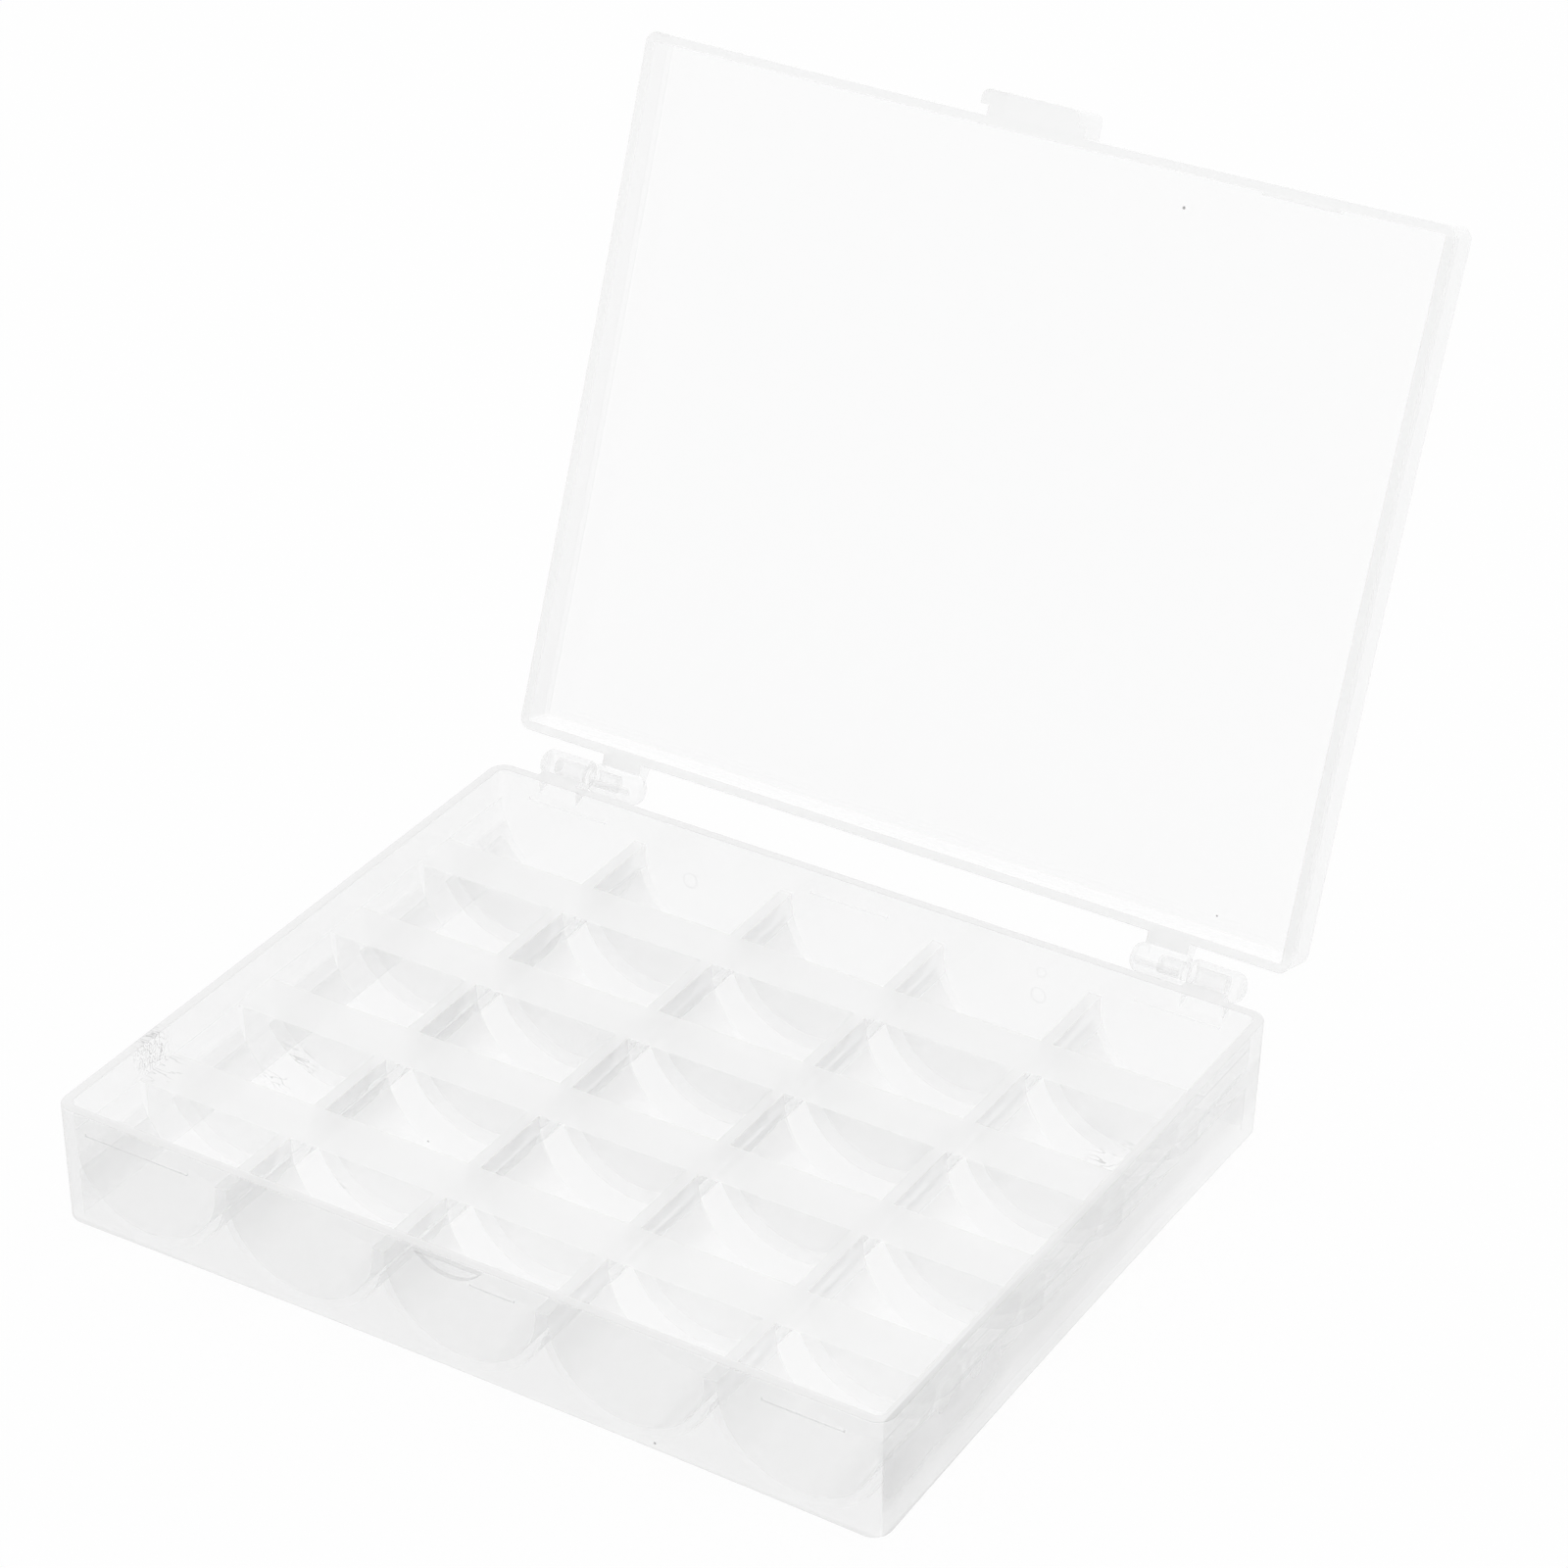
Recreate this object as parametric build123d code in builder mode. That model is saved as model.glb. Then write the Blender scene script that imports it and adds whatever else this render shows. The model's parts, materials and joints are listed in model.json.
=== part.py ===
"""Clear storage box for sewing-machine bobbins and embroidery thread.

Two thin plastic mouldings, a tray with a grid of round-bottomed wells and a shallow lid,
turn on two short pins behind the tray's back wall. The lid is shown standing open.

Sizes are in millimetres. The origin is on the table, under the middle of the tray.
+X runs along the hinge line, +Y points to the hinges and +Z up.
"""
from build123d import *
import os

# ---- What a well holds: one bobbin, standing on its edge -----------------------------
bobbin_diameter = 20.5
bobbin_width = 11.6
radial_play = 0.68          # round a bobbin, in the round bottom of its well
end_play = 0.81             # between a bobbin and each end wall of its well

# ---- Grid of wells -------------------------------------------------------------------
columns = 5
rows = 5
divider = 1.8               # wall between two wells of one row
ridge_width = 7.4           # hollow ridge between two rows, across its flat top
ridge_wall = 1.2            # top and sides of a ridge
well_sheet = 1.3            # round bottom of a well
well_flat = 0.05            # depth of the flat that a round bottom stands on
straight_side = 0.72        # height of a well's straight sides above its round part

# ---- Tray wall -----------------------------------------------------------------------
tray_wall = 1.5
tray_margin = 0.25          # between the grid of wells and the wall, at the rim
tray_lean = 0.45            # each wall's foot stands this far inside its rim
rim_above_deck = 4.5        # the wall rises this far above the ridges and dividers
tray_corner = 2.5
foot_round = 0.4            # outer edge at the foot of the wall
rim_round = 0.2             # outer edge of the rim

# ---- Lid -----------------------------------------------------------------------------
lid_gap = 0.3               # between the two rims when the box is shut
lid_margin = 0.15           # the lid's rim lies this far inside the tray's, all round
lid_height = 6.6
lid_wall = 1.35
lid_panel = 1.25
lid_side_lean = 0.1         # left and right sides of the lid's top stand this far inside its rim
lid_front_lean = 0.4        # and its front and back this far
lid_corner = 1.7
lid_round = 0.6             # edge round the lid's top
open_angle = 110.1          # from shut to the way the lid stands here

# ---- Hinges --------------------------------------------------------------------------
hinge_from_side = 13.45     # from the tray's side to the middle of a hinge
hinge_behind = 3.33         # from the back wall to the hinge axis
barrel_radius = 2.1
tray_barrel_length = 7.5
lid_barrel_length = 7.8
barrel_gap = 0.9            # between the tray's barrel and the lid's barrel
barrel_nose = 1.3           # rounding of a barrel's closed end
barrel_mouth = 0.35         # rounding of its open end
lug_width = 6.1             # web that carries a barrel
lug_height = 3.4            # its height on the wall
tray_lug_setback = 0.1      # from the barrel's open end to the web
lid_lug_setback = 0.5
pin_radius = 1.2
pin_in_tray = 5.0           # length of the pin held fast in the tray's barrel
pin_in_lid = 3.6            # length that the lid's barrel turns on
pin_chamfer = 0.25
pin_end_play = 0.15         # past each end of the pin
pin_fit = 0.01              # radial, where the tray holds the pin
pin_running_fit = 0.05      # radial, where the lid turns on it

# ---- Catch ---------------------------------------------------------------------------
nub_width = 9.6             # half-moon nub on the tray's front wall
nub_height = 2.2
nub_proud = 0.8
nub_below_rim = 0.2
nub_round = 0.3
tab_width = 14.5            # thumb tab on the lid's front
tab_plate = 1.5             # thickness of the part that hangs in front of the nub
tab_flare = 0.6             # its lower edge stands this far further out, for the thumb
tab_reach = 2.6             # it hangs this far below the lid's rim
tab_rise = 4.9              # and the tab's root runs up this far above it
tab_corner = 1.2
tab_edge = 0.3
nub_clearance = 0.25        # between the nub and the tab

# ---- Small moulded marks -------------------------------------------------------------
rib_height = 0.35
rib_proud = 0.25
front_ribs = ((-47.0, 15.8), (6.0, 6.3), (49.1, 11.1))    # x of the middle, and length
back_ribs = ((-47.5, 12.6), (-2.0, 12.0), (47.5, 12.6))
front_ribs_below_rim = 2.7
back_ribs_below_rim = 3.2
pad_length = 11.0           # thickened stretch inside the lid's front skirt
pad_proud = 0.6
pad_height = 1.2
pad_from_side = 21.15       # from the lid's side to the middle of the pad

# ---- Worked out from the sizes above -------------------------------------------------
well_radius = bobbin_diameter / 2 + radial_play
slot_length = bobbin_width + 2 * end_play
column_pitch = 2 * well_radius + divider
row_pitch = slot_length + ridge_width
inner_length = columns * column_pitch - divider + 2 * tray_margin
inner_depth = rows * row_pitch - ridge_width + 2 * tray_margin
tray_length = inner_length + 2 * tray_wall
tray_depth = inner_depth + 2 * tray_wall
well_centre_z = well_radius + well_sheet - well_flat
deck_z = well_centre_z + straight_side
tray_height = deck_z + rim_above_deck

lid_length = tray_length - 2 * lid_margin
lid_depth = tray_depth - 2 * lid_margin
lid_rim_z = tray_height + lid_gap
lid_top_z = lid_rim_z + lid_height
hinge_x = tray_length / 2 - hinge_from_side
hinge_y = tray_depth / 2 + hinge_behind
hinge_z = tray_height
hinge_axis = Axis((0, hinge_y, hinge_z), (1, 0, 0))
tray_barrel_x = hinge_x + barrel_gap / 2
lid_barrel_x = hinge_x - barrel_gap / 2

sides = (-1, 1)             # left and right hinge
cut_past = 1.0              # cutting tools run this far past the faces they open


def leaning_block(length, depth, corner, rim_z, far_z, side_lean, front_lean):
    """Rounded block with its full size at rim_z, whose four sides lean in towards far_z."""
    with BuildPart() as block:
        with BuildSketch(Plane.XY.offset(rim_z)):
            RectangleRounded(length, depth, corner)
        with BuildSketch(Plane.XY.offset(far_z)):
            RectangleRounded(length - 2 * side_lean, depth - 2 * front_lean, corner)
        loft(ruled=True)
    return block.part


def tray_lean_at(z):
    """How far the tray's walls stand inside their rim at a height."""
    return tray_lean * (tray_height - z) / tray_height


def tray_interior(low_z, high_z):
    """The room inside the tray's four walls, between two heights."""
    inset = 2 * tray_lean_at(high_z)
    lean = tray_lean_at(low_z) - tray_lean_at(high_z)
    corner = tray_corner - tray_wall
    return leaning_block(inner_length - inset, inner_depth - inset, corner, high_z, low_z, lean, lean)


def row_span(row):
    """Front and back end of a row of wells. The end rows run on into the tray's wall."""
    middle = (row - (rows - 1) / 2) * row_pitch
    front = middle - slot_length / 2 - (tray_wall if row == 0 else 0)
    back = middle + slot_length / 2 + (tray_wall if row == rows - 1 else 0)
    return front, back


def rows_of_wells(radius, top_z, longer):
    """Round-bottomed bars, one for each well, `longer` than the well at both ends."""
    with BuildPart() as bars:
        for row in range(rows):
            front, back = row_span(row)
            with BuildSketch(Plane.XZ.offset(-back - longer)):
                with Locations((0, well_centre_z)):
                    with GridLocations(column_pitch, 0, columns, 1):
                        Circle(radius)
                        Rectangle(2 * radius, top_z - well_centre_z, align=(Align.CENTER, Align.MIN))
            extrude(amount=back - front + 2 * longer)
    return bars.part


def barrel(side, open_end_x, away, length, bore_radius, bore_depth):
    """Hinge barrel with a blind bore. It runs outward (away +1) or inward (-1) from its open end."""
    outward = side * away
    with BuildPart() as knuckle:
        with BuildSketch(Plane.YZ.offset(side * open_end_x)):
            with Locations((hinge_y, hinge_z)):
                Circle(barrel_radius)
        extrude(amount=outward * length)
        ends = knuckle.edges().filter_by(GeomType.CIRCLE).sort_by(Axis.X)
        open_end, closed_end = (ends[0], ends[-1]) if outward > 0 else (ends[-1], ends[0])
        fillet(closed_end, barrel_nose)
        fillet(open_end, barrel_mouth)
        with BuildSketch(Plane.YZ.offset(side * open_end_x)):
            with Locations((hinge_y, hinge_z)):
                Circle(bore_radius)
        extrude(amount=outward * bore_depth, mode=Mode.SUBTRACT)
    return knuckle.part


def lug(side, open_end_x, away, setback, wall_y, rim_z, up):
    """Web from the wall to the barrel, flush with the rim and rising (up +1) or falling (-1) from it."""
    outward = side * away
    with BuildPart() as web:
        with BuildSketch(Plane.YZ.offset(side * open_end_x + outward * setback)):
            with BuildLine():
                Polyline(
                    (wall_y, rim_z),
                    (hinge_y, rim_z),
                    (hinge_y, hinge_z + up * barrel_radius),
                    (wall_y, rim_z + up * lug_height),
                    close=True,
                )
            make_face()
        extrude(amount=outward * lug_width)
        with BuildSketch(Plane.YZ.offset(side * open_end_x)):
            with Locations((hinge_y, hinge_z)):
                Circle((pin_radius + barrel_radius) / 2)
        extrude(amount=outward * (setback + lug_width), mode=Mode.SUBTRACT)
    return web.part


# ---- Tray: four walls, the moulded sheet of wells and ridges, two barrels, the nub ----
wells = rows_of_wells(well_radius, tray_height + cut_past, 0)
well_undersides = rows_of_wells(well_radius + well_sheet, deck_z, ridge_wall)

with BuildPart() as room_above:
    add(wells)
    with BuildSketch(Plane.XY.offset(deck_z)):
        Rectangle(tray_length, tray_depth)
    extrude(amount=rim_above_deck + cut_past)
    add(tray_interior(0, tray_height + cut_past), mode=Mode.INTERSECT)

with BuildPart() as room_below:
    add(tray_interior(-cut_past, deck_z - ridge_wall))
    add(well_undersides, mode=Mode.SUBTRACT)

with BuildPart() as tray:
    add(leaning_block(tray_length, tray_depth, tray_corner, tray_height, 0, tray_lean, tray_lean))
    fillet(tray.faces().sort_by(Axis.Z)[0].edges(), foot_round)
    fillet(tray.faces().sort_by(Axis.Z)[-1].edges(), rim_round)
    add(room_above.part, mode=Mode.SUBTRACT)
    add(room_below.part, mode=Mode.SUBTRACT)

    wall_middle_y = (tray_depth - tray_wall) / 2
    for side in sides:
        add(lug(side, tray_barrel_x, 1, tray_lug_setback, wall_middle_y, tray_height, -1))
        bore_radius = pin_radius + pin_fit
        add(barrel(side, tray_barrel_x, 1, tray_barrel_length, bore_radius, pin_in_tray + pin_end_play))

    # Half-moon nub just below the middle of the front rim
    nub_top_z = tray_height - nub_below_rim
    with BuildPart(mode=Mode.PRIVATE) as nub:
        with BuildSketch(Plane.XZ.offset(wall_middle_y)):
            with BuildLine():
                Line((-nub_width / 2, nub_top_z), (nub_width / 2, nub_top_z))
                ThreePointArc(
                    (-nub_width / 2, nub_top_z),
                    (0, nub_top_z - nub_height),
                    (nub_width / 2, nub_top_z),
                )
            make_face()
        extrude(amount=tray_wall / 2 + nub_proud)
        fillet(nub.faces().sort_by(Axis.Y)[0].edges(), nub_round)
    add(nub.part)

    # Short raised marks near the rim, outside the front wall and inside the back wall
    front_z = tray_height - front_ribs_below_rim
    front_y = tray_lean_at(front_z) - tray_depth / 2
    back_z = tray_height - back_ribs_below_rim
    back_y = inner_depth / 2 - tray_lean_at(back_z)
    for ribs, y, z in ((front_ribs, front_y, front_z), (back_ribs, back_y, back_z)):
        for x, length in ribs:
            with Locations((x, y, z)):
                Box(length, 2 * rib_proud, rib_height)

tray.part.label = "tray"

# ---- Lid: built shut over the tray, then swung open about the hinge axis --------------
with BuildPart() as shut_lid:
    add(leaning_block(lid_length, lid_depth, lid_corner, lid_rim_z, lid_top_z, lid_side_lean, lid_front_lean))
    fillet(shut_lid.faces().sort_by(Axis.Z)[-1].edges(), lid_round)
    add(
        leaning_block(
            lid_length - 2 * lid_wall,
            lid_depth - 2 * lid_wall,
            lid_corner - lid_wall,
            lid_rim_z,
            lid_top_z - lid_panel,
            lid_side_lean,
            lid_front_lean,
        ),
        mode=Mode.SUBTRACT,
    )
    skirt_middle_y = (lid_depth - lid_wall) / 2
    for side in sides:
        add(lug(side, lid_barrel_x, -1, lid_lug_setback, skirt_middle_y, lid_rim_z, 1))
        bore_radius = pin_radius + pin_running_fit
        add(barrel(side, lid_barrel_x, -1, lid_barrel_length, bore_radius, pin_in_lid + pin_end_play))

    # Thumb tab on the front skirt. Its lower part hangs clear in front of the nub.
    plate_back_y = -tray_depth / 2 - nub_proud - nub_clearance
    tab_front_y = plate_back_y - tab_plate
    with BuildPart(mode=Mode.PRIVATE) as tab:
        with BuildSketch(Plane.YZ.offset(-tab_width / 2)):
            with BuildLine():
                Polyline(
                    (-skirt_middle_y, lid_rim_z + tab_rise),
                    (tab_front_y, lid_rim_z + tab_rise),
                    (tab_front_y - tab_flare, lid_rim_z - tab_reach),
                    (plate_back_y, lid_rim_z - tab_reach),
                    (plate_back_y, lid_rim_z),
                    (-skirt_middle_y, lid_rim_z),
                    close=True,
                )
            make_face()
        extrude(amount=tab_width)
        fillet(tab.faces().sort_by(Axis.Y)[0].edges().filter_by(Axis.X, reverse=True), tab_corner)
        fillet(tab.faces().sort_by(Axis.Z)[-1].edges().filter_by(Axis.Y, reverse=True), tab_edge)
    add(tab.part)

    # Thickened stretch inside the front skirt
    with Locations((lid_length / 2 - pad_from_side, -skirt_middle_y, lid_rim_z)):
        Box(pad_length, lid_wall / 2 + pad_proud, pad_height, align=(Align.CENTER, Align.MIN, Align.MIN))

with BuildPart() as lid:
    add(shut_lid.part.rotate(hinge_axis, -open_angle))

lid.part.label = "lid"

# ---- Hinge pins: fast in the tray's barrels, the lid turns on their inner ends --------
pins = {}
for side, name in zip(sides, ("left_hinge_pin", "right_hinge_pin")):
    with BuildPart() as pin:
        with BuildSketch(Plane.YZ.offset(side * (tray_barrel_x + pin_in_tray))):
            with Locations((hinge_y, hinge_z)):
                Circle(pin_radius)
        extrude(amount=-side * (pin_in_tray + barrel_gap + pin_in_lid))
        chamfer(pin.edges().filter_by(GeomType.CIRCLE), pin_chamfer)
    pin.part.label = name
    pins[name] = pin

# ---- Files ---------------------------------------------------------------------------
os.makedirs("parts", exist_ok=True)
export_step(tray.part, "parts/tray.step")
export_step(lid.part, "parts/lid.step")
for name, pin in pins.items():
    export_step(pin.part, f"parts/{name}.step")

print(f"tray {tray_length:.2f} x {tray_depth:.2f} x {tray_height:.2f}")
print(f"shut height {lid_top_z:.2f}, well radius {well_radius:.2f}, deck {deck_z:.2f}")
print(f"hinge axis y {hinge_y:.2f}, z {hinge_z:.2f}, x {hinge_x:.2f}")
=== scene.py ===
"""Clear storage box for sewing bobbins and embroidery thread, standing open.

The tray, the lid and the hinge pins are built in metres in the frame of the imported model:
the origin is on the table under the middle of the tray, +Y points to the hinges, +Z up.
"""

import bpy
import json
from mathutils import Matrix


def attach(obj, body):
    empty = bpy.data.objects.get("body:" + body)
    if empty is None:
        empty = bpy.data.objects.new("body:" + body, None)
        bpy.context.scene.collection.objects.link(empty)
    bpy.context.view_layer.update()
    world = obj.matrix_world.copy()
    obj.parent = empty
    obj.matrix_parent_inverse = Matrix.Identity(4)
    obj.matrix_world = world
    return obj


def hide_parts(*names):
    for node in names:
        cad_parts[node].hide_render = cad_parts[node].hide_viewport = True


bl_info = {
    "name": "Clear Thread Box",
    "version": (1, 0, 0),
    "blender": (4, 5, 0),
    "location": "3D View > Sidebar > Thread Box",
    "description": "Builds a clear plastic box with a grid of round-bottomed wells and a hinged lid",
    "category": "Add Mesh",
}

import json
import math

import bmesh
import bpy
from bpy.props import FloatProperty, FloatVectorProperty, IntProperty, PointerProperty
from mathutils import Matrix, Vector

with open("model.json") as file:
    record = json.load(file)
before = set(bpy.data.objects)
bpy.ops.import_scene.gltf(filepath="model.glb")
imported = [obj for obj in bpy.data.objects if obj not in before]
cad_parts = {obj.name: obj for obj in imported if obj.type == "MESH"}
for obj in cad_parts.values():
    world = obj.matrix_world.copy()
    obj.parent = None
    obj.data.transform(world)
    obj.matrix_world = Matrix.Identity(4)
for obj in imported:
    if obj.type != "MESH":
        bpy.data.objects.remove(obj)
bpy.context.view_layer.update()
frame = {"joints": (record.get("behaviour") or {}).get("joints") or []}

MM = 0.001
LID_JOINT = next(joint for joint in frame["joints"] if joint["name"] == "lid_hinge")
HINGE = Vector(LID_JOINT["pos_m"])
UP = Vector((0, 0, 1))
PAST = MM  # cutters reach this far past the faces that they cut
OPEN_ANGLE = math.radians(-LID_JOINT["range_deg"][0])
SIDES = {"left": -1, "right": 1}


# ---- Sizes and colours -----------------------------------------------------------------

def length(name, millimetres, description):
    """A size in metres, given in millimetres."""
    return FloatProperty(
        name=name, description=description, default=millimetres * MM, min=0.0,
        subtype="DISTANCE", unit="LENGTH", precision=5,
    )


def number(name, default, description):
    """A whole number."""
    return IntProperty(name=name, description=description, default=default, min=1)


def share(name, default, description):
    """A share between 0 and 1."""
    return FloatProperty(name=name, description=description, default=default, min=0.0, max=1.0, subtype="FACTOR")


def colour(name, default, description):
    """A colour with its alpha."""
    return FloatVectorProperty(
        name=name, description=description, default=default, size=4, min=0.0, max=1.0, subtype="COLOR",
    )


class TraySizes(bpy.types.PropertyGroup):
    """Sizes of the tray and of its grid of wells"""
    columns: number("Columns", 5, "Wells from left to right")
    rows: number("Rows", 5, "Wells from front to back")
    well_radius: length("Well radius", 10.93, "Round bottom of a well")
    well_length: length("Well length", 13.22, "Front to back inside a well")
    divider: length("Divider", 1.8, "Wall between two wells of one row")
    ridge: length("Ridge", 7.4, "Hollow ridge between two rows")
    ridge_wall: length("Ridge wall", 1.2, "Top and sides of a ridge")
    sheet: length("Well sheet", 1.3, "Thickness of a well's round bottom")
    straight: length("Straight side", 0.72, "Height of a well's sides above its round part")
    flat: length("Flat", 0.05, "Depth of the flat that a round bottom stands on")
    rim: length("Rim", 4.5, "Height of the rim above the ridges")
    wall: length("Wall", 1.5, "Thickness of the four walls")
    margin: length("Margin", 0.25, "Between the grid of wells and the wall, at the rim")
    lean: length("Lean", 0.25, "How far a corner's foot stands inside its rim")
    corner: length("Corner", 2.5, "Radius of the four corners")
    rim_round: length("Rim round", 0.2, "Rounding of the rim's edges")
    foot_round: length("Foot round", 0.4, "Rounding of the wall's foot")
    rib_height: length("Rib height", 0.35, "Short raised marks outside the front wall and inside the back wall")
    rib_proud: length("Rib proud", 0.25, "How far those marks stand out")
    front_ribs_below: length("Front ribs below rim", 2.7, "From the rim down to the marks on the front")
    back_ribs_below: length("Back ribs below rim", 3.2, "From the rim down to the marks on the back wall")
    side_bow: length("Side bow", 0.4, "How far the sides pull in at the foot, half way between the corners")
    front_bow: length("Front bow", 0.6, "How far the front and back pull in at the foot, half way along")


class LidSizes(bpy.types.PropertyGroup):
    """Sizes of the lid"""
    gap: length("Gap", 0.3, "Between the two rims when the box is shut")
    inset: length("Inset", 0.15, "The lid's rim lies this far inside the tray's")
    height: length("Height", 6.6, "From the lid's rim to its top")
    wall: length("Skirt", 1.35, "Thickness of the skirt")
    panel: length("Panel", 1.25, "Thickness of the flat top")
    side_lean: length("Side lean", 0.1, "Left and right sides of the top stand this far inside the rim")
    front_lean: length("Front lean", 0.4, "Front and back of the top stand this far inside the rim")
    corner: length("Corner", 1.7, "Radius of the four corners")
    top_round: length("Top round", 0.6, "Rounding round the lid's top")
    rim_round: length("Rim round", 0.15, "Rounding of the rim's edges")
    side_bow: length("Side bow", 0.25, "How far the sides of the rim pull in half way along")
    front_bow: length("Front bow", 0.4, "How far the front of the rim pulls in half way along")
    pad_length: length("Pad length", 11.0, "Thickened stretch inside the front skirt")
    pad_proud: length("Pad proud", 0.6, "How far that stretch stands in from the skirt")
    pad_height: length("Pad height", 1.2, "Height of that stretch")
    pad_from_side: length("Pad place", 21.15, "From the lid's side to the middle of the pad")


class HingeSizes(bpy.types.PropertyGroup):
    """Sizes of the two hinges"""
    from_side: length("From side", 13.45, "From the tray's side to the middle of a hinge")
    barrel_radius: length("Barrel radius", 2.1, "Outside of a hinge barrel")
    tray_barrel: length("Tray barrel", 7.5, "Length of the tray's barrels")
    lid_barrel: length("Lid barrel", 7.8, "Length of the lid's barrels")
    gap: length("Gap", 0.9, "Between the tray's barrel and the lid's")
    nose: length("Nose", 1.3, "Rounding of a barrel's closed end")
    mouth: length("Mouth", 0.35, "Rounding of a barrel's open end")
    lug_width: length("Web width", 6.1, "Web that carries a barrel")
    lug_height: length("Web height", 3.4, "Height of that web on the wall")
    tray_setback: length("Tray setback", 0.1, "From the tray barrel's open end to its web")
    lid_setback: length("Lid setback", 0.5, "From the lid barrel's open end to its web")
    pin_radius: length("Pin radius", 1.2, "Pin that the lid turns on")
    pin_in_tray: length("Pin in tray", 5.0, "Length of the pin in the tray's barrel")
    pin_in_lid: length("Pin in lid", 3.6, "Length of the pin in the lid's barrel")
    pin_chamfer: length("Pin chamfer", 0.25, "Chamfer of the pin's ends")
    end_play: length("End play", 0.15, "Past each end of the pin")
    tray_fit: length("Tray fit", 0.01, "Radial, where the tray holds the pin")
    lid_fit: length("Lid fit", 0.05, "Radial, where the lid turns on the pin")


class CatchSizes(bpy.types.PropertyGroup):
    """Sizes of the catch"""
    nub_width: length("Nub width", 9.6, "Half-moon nub on the tray's front")
    nub_height: length("Nub height", 2.2, "Height of the nub")
    nub_proud: length("Nub proud", 0.8, "How far the nub stands out")
    nub_below_rim: length("Nub below rim", 0.2, "From the rim to the nub's top")
    nub_round: length("Nub round", 0.3, "Rounding of the nub's edge")
    tab_width: length("Tab width", 14.5, "Thumb tab on the lid's front")
    tab_plate: length("Tab plate", 1.5, "Thickness of the part that hangs in front of the nub")
    tab_flare: length("Tab flare", 0.6, "Its lower edge stands this far further out")
    tab_reach: length("Tab reach", 2.6, "It hangs this far below the lid's rim")
    tab_rise: length("Tab rise", 4.9, "Its root runs up this far above the rim")
    tab_corner: length("Tab corner", 1.2, "Rounding of its front corners")
    tab_edge: length("Tab edge", 0.3, "Rounding of its upper edge")
    clearance: length("Clearance", 0.25, "Between the nub and the tab")


class Plastic(bpy.types.PropertyGroup):
    """Finish of the clear mouldings"""
    tint: colour("Tint", (0.988, 0.988, 0.988, 1.0), "Colour of light that passes the plastic's surface")
    frost: colour("Frost", (0.9, 0.9, 0.9, 1.0), "Colour of the plastic's own faint haze")
    # Painted shade: the grey that darkens the haze on the outside of the right and front walls and on the tray's rim
    # and ridge tops
    painted_shade_grey: colour("Shaded", (0.5, 0.5, 0.5, 1.0), "Colour of the haze where the outside is rubbed")
    body: colour("Body", (0.90, 0.905, 0.91, 1.0), "Colour of light that has run a long way in the plastic")
    density: FloatProperty(name="Density", description="How fast the plastic darkens with depth, per metre",
                           default=30.0, min=0.0)
    tray_haze: share("Tray haze", 0.05, "Share of light that the tray's surface scatters")
    lid_haze: share("Lid haze", 0.035, "Share of light that the lid's surface scatters")
    pin_haze: share("Pin haze", 0.01, "Share of light that a hinge pin's surface scatters")
    tray_skim: share("Tray edge haze", 0.16, "Further share where the tray's surface is seen edge on")
    lid_skim: share("Lid edge haze", 0.4, "Further share where the lid's surface is seen edge on")
    pin_skim: share("Pin edge haze", 0.02, "Further share where a pin's surface is seen edge on")
    tray_gloss: share("Tray gloss", 1.0, "Strength of the tray's clear coat")
    lid_gloss: share("Lid gloss", 1.0, "Strength of the lid's clear coat")
    pin_gloss: share("Pin gloss", 0.2, "Strength of a pin's clear coat, inside the barrels")
    ridge_haze: share("Ridge haze", 0.46, "Share that the tops of the ridges scatter besides")
    rim_haze: share("Rim haze", 0.6, "Share that the tray's rim scatters besides")
    lid_rim_haze: share("Lid rim haze", 0.3, "Share that the lid's rim and the tab's end scatter besides")
    steep_haze: share("Steep haze", 0.19, "Share that the wells' steep sides scatter besides")
    # Painted shade on the outside of the right and front walls, and a share of it on the tray's rim and ridge tops
    right_painted_shade: share("Right darkening", 0.16, "Share that the rubbed outside of the right wall scatters besides")
    front_painted_shade: share("Front darkening", 0.1, "Share that the rubbed outside of the front wall scatters besides")
    flat_painted_shade: share("Flat darkening", 0.065, "How much of the haze on the tray's rim and ridges counts as rubbed")


class Studio(bpy.types.PropertyGroup):
    """Backdrop, light and camera"""
    backdrop: colour("Backdrop", (1.0, 1.0, 1.0, 1.0), "Floor and background as the camera sees them")
    level: share("Light level", 0.86, "Strength of the even light from all round")
    slant: share("Light slant", 0.6, "How much stronger that light is from the bright side than from the other")
    lens: FloatProperty(name="Lens", description="Focal length for a 36 mm sensor, in millimetres",
                        default=108.14, min=1.0)


GROUPS = {"thread_tray": TraySizes, "thread_lid": LidSizes, "thread_hinge": HingeSizes,
          "thread_catch": CatchSizes, "thread_plastic": Plastic, "thread_studio": Studio}


# ---- Node trees --------------------------------------------------------------------------

class Wire:
    """One value in a node tree. Arithmetic on it adds Math nodes."""

    def __init__(self, nodes, socket):
        self.nodes, self.socket = nodes, socket

    def maths(self, operation, *values):
        return self.nodes.add("ShaderNodeMath", {"operation": operation}, *values)

    def __add__(self, other): return self.maths("ADD", self, other)
    def __radd__(self, other): return self.maths("ADD", other, self)
    def __sub__(self, other): return self.maths("SUBTRACT", self, other)
    def __rsub__(self, other): return self.maths("SUBTRACT", other, self)
    def __mul__(self, other): return self.maths("MULTIPLY", self, other)
    def __rmul__(self, other): return self.maths("MULTIPLY", other, self)
    def __truediv__(self, other): return self.maths("DIVIDE", self, other)
    def __gt__(self, other): return self.maths("GREATER_THAN", self, other)
    def __abs__(self): return self.maths("ABSOLUTE", self)
    def __pow__(self, other): return self.maths("POWER", self, other)
    def least(self, other): return self.maths("MINIMUM", self, other)
    def most(self, other): return self.maths("MAXIMUM", self, other)


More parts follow.
